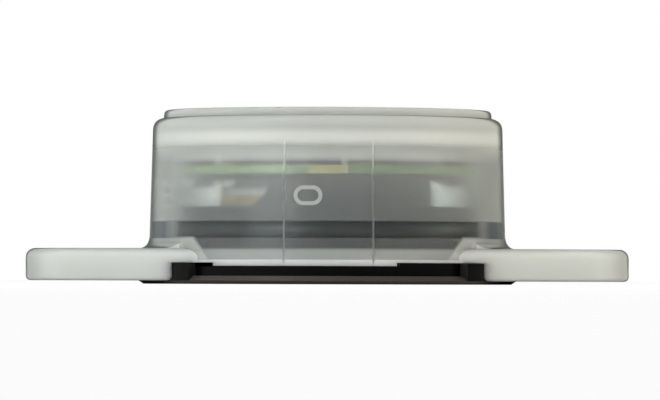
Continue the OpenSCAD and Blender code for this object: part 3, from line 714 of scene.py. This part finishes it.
def dressCase():
    own = caseShell
    piece = dressNode(own["node"], "caseShell", "case", smooth=own["smooth"])
    for extra in ("ledge", "whitened", "gate"):
        piece.data.materials.append(materials[extra])
    slope = math.tan(math.radians(wallForm["draft"]))
    for face in piece.data.polygons:
        middle = face.center
        radius = math.hypot(middle.x, middle.y) / mm
        height = middle.z / mm
        wall = wallForm["radius"] - (height - wallForm["height"]) * slope
        if radius < own["ledgeRadius"] and height < own["ledgeTop"]:
            face.material_index = 1
        standsOut = wall + own["markHeight"][0] < radius < wall + own["markHeight"][1]
        atMarks = abs(middle.x) < own["markReach"] * mm and own["markFrom"] < height < own["markTo"]
        if standsOut and middle.y < 0 and atMarks:
            nearRing = abs(middle.x / mm - own["ringMiddle"]) < own["ringReach"]
            face.material_index = 3 if nearRing and height < own["ringTop"] else 2


dressCase()
print("case dressed")

coverShell = {
    "node": "battery_cover", "edge": 0.06,
    "lipRadius": 15.9, "lipTop": 0.8,          # the sloped lip and the chamfer lie outside and below these
    "lipSlope": (0.1, 0.98),                   # how far outwards their faces look
    "channelRadius": 14.0, "channelTop": 3.1,  # the bayonet channel, as far as light hardly reaches
    "channelSlope": 0.2,
}


def dressCover():
    own = coverShell
    piece = dressNode(own["node"], "coverShell", "black", own["edge"])
    for extra in ("channel", "lip"):
        piece.data.materials.append(materials[extra])
    for face in piece.data.polygons:
        middle = face.center
        outward = Vector((middle.x, middle.y, 0)).normalized()
        radius = math.hypot(middle.x, middle.y) / mm
        height = middle.z / mm
        slope = face.normal.dot(outward)
        inChannel = radius > own["channelRadius"] and height < own["channelTop"]
        if slope > own["channelSlope"] and inChannel:
            face.material_index = 1
        onLip = radius > own["lipRadius"] and height < own["lipTop"]
        if own["lipSlope"][0] < slope < own["lipSlope"][1] and onLip:
            face.material_index = 2


dressCover()
print("cover dressed")

boardPlate = {
    "node": "circuit_board", "edge": 0.03,
    "tabWidth": 4.4, "tabFrom": 14.25,
    "endTilt": 0.9,                            # faces that look up or down more than this keep their mask
}


def dressBoard():
    # The tab that was snapped off the panel shows bare laminate at its end.
    own = boardPlate
    piece = dressNode(own["node"], "boardPlate", "mask", own["edge"])
    piece.data.materials.append(materials["laminate"])
    for face in piece.data.polygons:
        onTab = face.center.y < -own["tabFrom"] * mm and abs(face.center.x) < own["tabWidth"] / 2 * mm
        if onTab and abs(face.normal.z) < own["endTilt"]:
            face.material_index = 1


dressBoard()
print("board dressed")

dressed = [
    # node, piece, material, edge in mm, slot
    ("button_cap", "softButton", "elastomer", 0.0, "soft_button"),
    ("top_label", "labelSheet", "film", 0.0, "label_film"),
    ("o_ring", "sealRing", "rubber", 0.0, "seal_rubber"),
    ("battery_cushion", "foamPad", "foam", 0.2, "foam"),
    ("battery_holder", "cellHolder", "nylon", 0.06, "holder_plastic"),
    ("contact_positive", "sideSpring", "gold", 0.0, "gold_plate"),
    ("contact_negative", "fingerSpring", "gold", 0.0, "gold_plate"),
    ("coin_cell_can", "cellCan", "nickel", 0.04, "cell_steel"),
    ("coin_cell_gasket", "cellGasket", "gasket", 0.0, "cell_gasket"),
    ("coin_cell_cap", "cellCap", "nickel", 0.06, "cell_steel"),
    ("radio_chip", "radioChip", "resin", 0.05, "chip_resin"),
    ("chip_antenna", "antennaBlock", "ceramic", 0.06, "ceramic"),
    ("memory_chip", "memoryChip", "resin", 0.05, "chip_resin"),
    ("crystals", "crystalCans", "tin", 0.08, "tinned_metal"),
    ("tact_switch_body", "switchBody", "resin", 0.04, "switch_plastic"),
    ("tact_switch_cover", "switchPlate", "tin", 0.02, "tinned_metal"),
    ("switch_plunger", "switchPlunger", "acetal", 0.06, "plunger_plastic"),
    ("led_red", "redLampBody", "redLamp", 0.05, "lamp_red"),
    ("led_green", "greenLampBody", "greenLamp", 0.05, "lamp_green"),
    ("light_guide", "lightBlock", "clear", 0.08, "clear_plastic"),
    ("temperature_sensor", "sensorChip", "resin", 0.04, "chip_resin"),
    ("capacitors", "capacitorBodies", "titanate", 0.03, "capacitor_ceramic"),
    ("resistors", "resistorBodies", "resin", 0.02, "chip_resin"),
    ("inductor", "inductorBlock", "ferrite", 0.1, "ferrite"),
    ("chip_terminals", "chipEnds", "tin", 0.03, "tinned_metal"),
    ("board_screws", "boardScrews", "zinc", 0.06, "screw_steel"),
    ("test_pads", "testPads", "gold", 0.0, "gold_plate"),
    ("holder_rivets", "holderRivets", "tin", 0.05, "tinned_metal"),
]


def dressAll():
    for node, pieceName, material, edge, slot in dressed:
        piece = dressNode(node, pieceName, material, edge)


dressAll()
print("inner pieces dressed:", len(dressed))

bpy.context.scene.view_settings.view_transform = "Standard"
